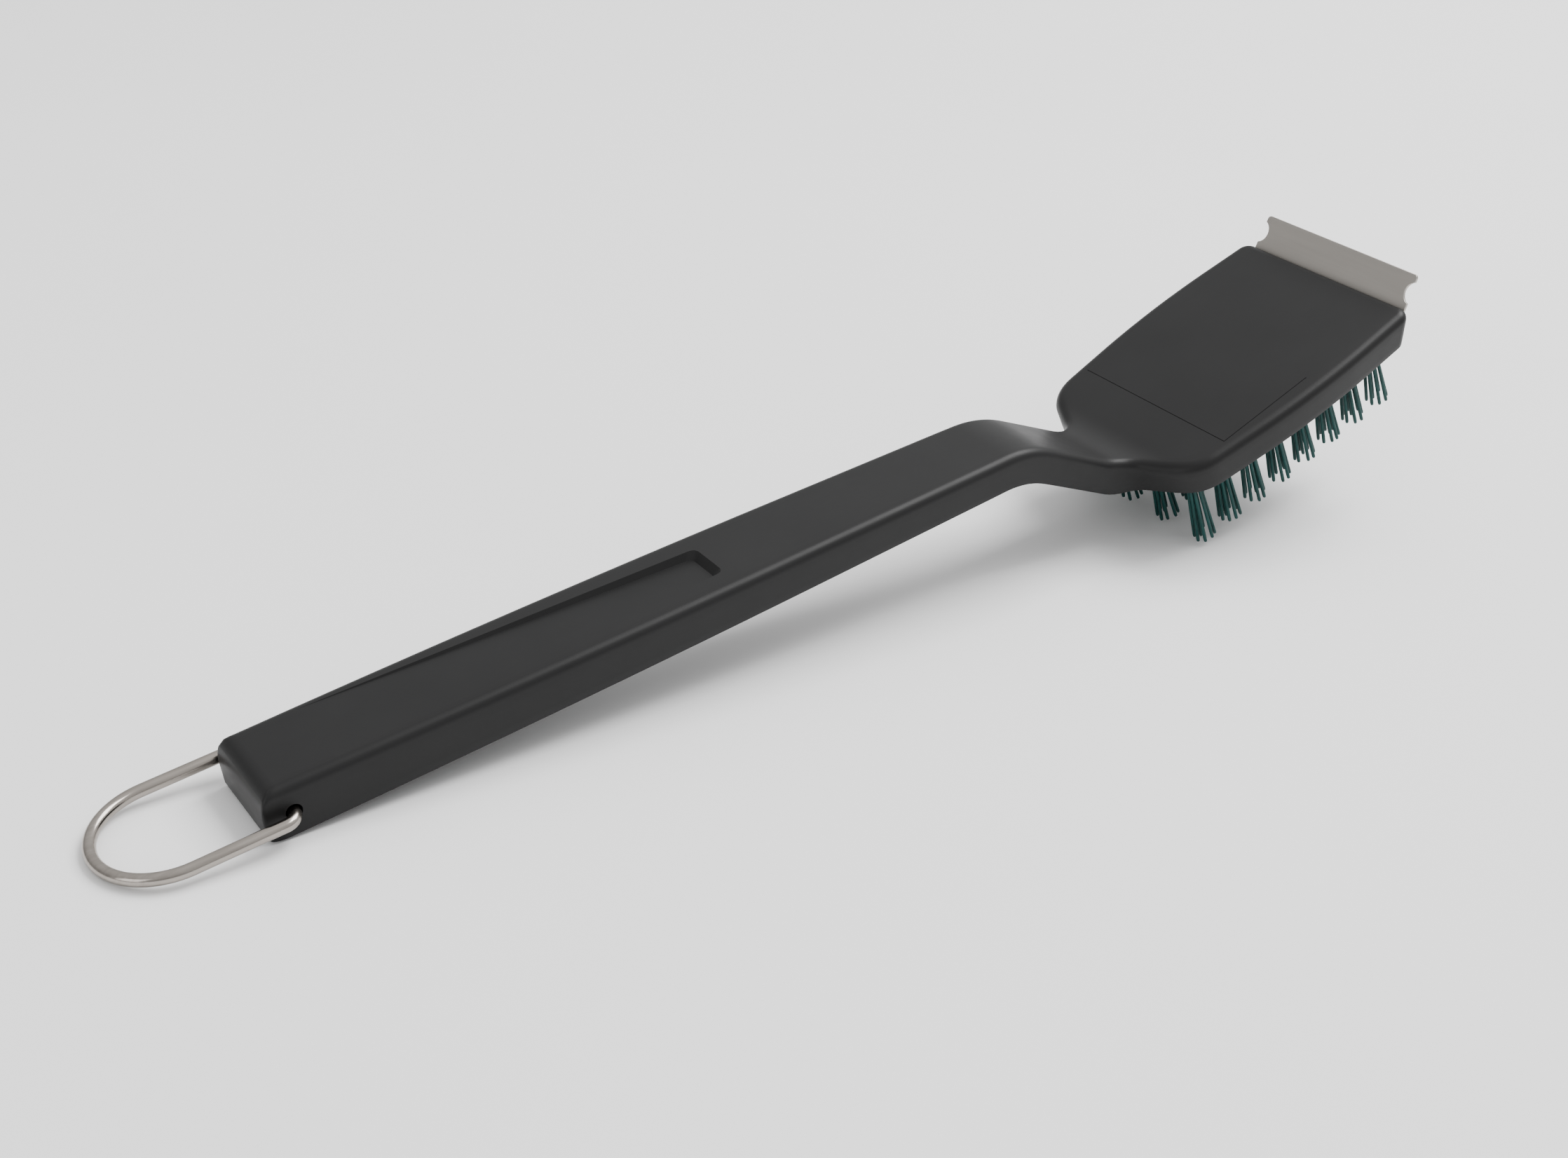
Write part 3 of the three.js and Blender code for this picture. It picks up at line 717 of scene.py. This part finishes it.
def loop_mesh():
    """Verts and faces of the wire: a ring of points at every station of its middle line."""
    stations = loop_line()
    verts = []
    for x, y, heading in stations:
        sideways = (-math.sin(heading), math.cos(heading))
        for i in range(WIRE_SIDES):
            a = 2 * math.pi * i / WIRE_SIDES
            reach = WIRE_R * math.cos(a)
            verts.append((x + sideways[0] * reach, y + sideways[1] * reach, WIRE_R * math.sin(a)))
    n = len(verts)
    ends = [tuple(range(WIRE_SIDES)), tuple(range(n - WIRE_SIDES, n))]
    moved = [(x + PIVOT[0], y, z + PIVOT[2]) for x, y, z in verts]
    return moved, grid_faces(len(stations), WIRE_SIDES, closed=True) + ends


loop = to_frame(new_object("wire_loop", *loop_mesh(), WIRE, smooth_angle=50))
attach(loop, "loop")
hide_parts("hanging_loop")

# --- bristle tufts, filament by filament ---

FILAMENT_R, FILAMENT_SIDES = 0.6, 9
OUTER_FILAMENTS, INNER_FILAMENTS = 8, 1
INNER_ROOT_SHARE, INNER_TIP_SHARE = 0.4, 0.36
ROOT_MARGIN, ROOT_RISE_GAP = 0.1, 0.6

# How much the filaments of a tuft differ: turn in radians, reach as a share, the rest in millimetres.
TURN_SPREAD, LEAST_TIP_SHARE, TRIM_SPREAD, BOW_SPREAD = 0.12, 0.95, 0.7, 0.15

# Where a filament's rings lie: as shares of its length, then as shares of its rounded tip.
SHAFT_RINGS = (0, 0.12, 0.3, 0.5, 0.7, 0.86, 0.965)
TIP_RINGS = (0.5, 0.87)


def filament(root, tip, bow):
    """One round-tipped filament from root to tip, bowed sideways by the vector bow."""
    root, tip, bow = Vector(root), Vector(tip), Vector(bow)
    rings = [(root.lerp(tip, t) + bow * math.sin(math.pi * t), FILAMENT_R) for t in SHAFT_RINGS]
    axis = (tip - root).normalized()
    for t in TIP_RINGS:
        rings.append((tip - axis * FILAMENT_R * (1 - t), FILAMENT_R * math.sqrt(1 - t ** 2)))
    across = axis.orthogonal().normalized()
    other = axis.cross(across)
    verts = []
    for centre, r in rings:
        for i in range(FILAMENT_SIDES):
            a = 2 * math.pi * i / FILAMENT_SIDES
            verts.append(centre + across * (r * math.cos(a)) + other * (r * math.sin(a)))
    point = len(verts)
    verts.append(tip)
    last = point - FILAMENT_SIDES
    faces = grid_faces(len(rings), FILAMENT_SIDES, closed=True)
    faces += [(last + i, last + (i + 1) % FILAMENT_SIDES, point) for i in range(FILAMENT_SIDES)]
    faces.append(tuple(range(FILAMENT_SIDES)))
    return verts, faces


def tuft_mesh(row, column):
    """Verts and faces of a tuft's filaments, each tuft with its own seed."""
    chance = random.Random(row * 31 + column * 7 + 5)
    place = tuft_frame(row, column)
    parts = []
    start_angle = chance.uniform(0, math.pi)
    for number in range(OUTER_FILAMENTS + INNER_FILAMENTS):
        outer = number < OUTER_FILAMENTS
        total = OUTER_FILAMENTS if outer else INNER_FILAMENTS
        root_share, tip_share = (1, 1) if outer else (INNER_ROOT_SHARE, INNER_TIP_SHARE)
        a = start_angle + 2 * math.pi * number / total + chance.uniform(-TURN_SPREAD, TURN_SPREAD)
        root_r = (TUFT_ROOT_R - FILAMENT_R - ROOT_MARGIN) * root_share
        tip_r = (TUFT_TIP_R - FILAMENT_R) * tip_share * chance.uniform(LEAST_TIP_SHARE, 1.0)
        length = TUFT_LENGTH - chance.uniform(0, TRIM_SPREAD)
        root = (root_r * math.cos(a), root_r * math.sin(a), hole_depth - ROOT_RISE_GAP)
        tip = (tip_r * math.cos(a), tip_r * math.sin(a), -length)
        bow = (chance.uniform(-BOW_SPREAD, BOW_SPREAD), chance.uniform(-BOW_SPREAD, BOW_SPREAD), 0)
        verts, faces = filament(root, tip, bow)
        parts.append(([tuple(place @ v) for v in verts], faces))
    return joined(parts)


for row, column in tuft_seats:
    node = f"tuft_row{row + 1}_{column + 1}"
    piece = f"filaments_row{row + 1}_{column + 1}"
    tuft = to_frame(new_object(piece, *tuft_mesh(row, column), NYLON, smooth_angle=60))
    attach(tuft, "brush")
    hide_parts(node)

# --- floor, light and camera ---

low, high = (Vector(corner) for corner in cad_box)
centre = (low + high) / 2


def floor_material():
    made, nodes, links, shader, coords = material("pale_floor")
    tone = noise(nodes, links, coords, scale=3, detail=2)
    colour = ramp(nodes, links, tone, [(0.3, grey(0.90)), (0.7, grey(0.92))])
    links.new(colour, shader.inputs["Base Color"])
    shader.inputs["Roughness"].default_value = 0.9
    shader.inputs["Specular IOR Level"].default_value = 0.1
    return made


FLOOR_SIZE, FLOOR_GAP = 30, 0.0002
bpy.ops.mesh.primitive_plane_add(size=FLOOR_SIZE, location=(0, 0, low.z - FLOOR_GAP))
floor = bpy.context.object
floor.name = "floor"
floor.data.materials.append(floor_material())

SKY_LEAN, SKY_STRENGTH = math.radians(-22), 1.2


def studio_world():
    """A sky that is brightest overhead, leaning towards the scraper, and darkens downwards."""
    world = bpy.data.worlds.new("studio")
    world.use_nodes = True
    nodes, links = world.node_tree.nodes, world.node_tree.links
    direction = nodes.new("ShaderNodeTexCoord").outputs["Generated"]
    leaning = nodes.new("ShaderNodeMapping")
    leaning.inputs["Rotation"].default_value = (0, SKY_LEAN, 0)
    links.new(direction, leaning.inputs["Vector"])
    upward = nodes.new("ShaderNodeSeparateXYZ")
    links.new(leaning.outputs["Vector"], upward.inputs["Vector"])
    stops = [(0.0, grey(0.42)), (0.35, grey(0.72)), (0.9, grey(1.0))]
    sky = ramp(nodes, links, upward.outputs["Z"], stops)
    links.new(sky, nodes["Background"].inputs["Color"])
    nodes["Background"].inputs["Strength"].default_value = SKY_STRENGTH
    return world


bpy.context.scene.world = studio_world()


def soft_light(name, offset, size, power):
    """A square light at an offset from the brush's centre and aimed at it, in metres and watts."""
    data = bpy.data.lights.new(name, "AREA")
    data.shape = "SQUARE"
    data.size = size
    data.energy = power
    light = bpy.data.objects.new(name, data)
    light.location = centre + Vector(offset)
    light.rotation_euler = (-Vector(offset)).to_track_quat("-Z", "Y").to_euler()
    bpy.context.scene.collection.objects.link(light)


soft_light("overhead", (1.3, 0, 1.85), size=1.4, power=66)
soft_light("near", (0.48, -0.5, 1.35), size=0.42, power=4)
soft_light("left", (-1.5, -0.3, 0.55), size=0.8, power=5)

# The viewpoint, solved from the edges of the brush in the photograph. It is set out in the drawn
# frame, then carried into the part's frame with the brush.
AZIMUTH, ELEVATION, ROLL = math.radians(31.132), math.radians(33.801), math.radians(-5.775)
AIM, DISTANCE = Vector((176.22, 0, -18.31)), 632.5
SENSOR_WIDTH, LENS = 36, 47.17
camera = bpy.data.cameras.new("camera")
camera.sensor_width = SENSOR_WIDTH
camera.lens = LENS
camera.clip_start = 0.01
view = bpy.data.objects.new("camera", camera)
forward = Vector((
    math.sin(AZIMUTH) * math.cos(ELEVATION),
    math.cos(AZIMUTH) * math.cos(ELEVATION),
    -math.sin(ELEVATION),
))
facing = forward.to_track_quat("-Z", "Y").to_matrix() @ Matrix.Rotation(ROLL, 3, "Z")
view.location = TO_FRAME @ (AIM - forward * DISTANCE)
view.rotation_euler = (turn @ facing).to_euler()
bpy.context.scene.collection.objects.link(view)
bpy.context.scene.camera = view
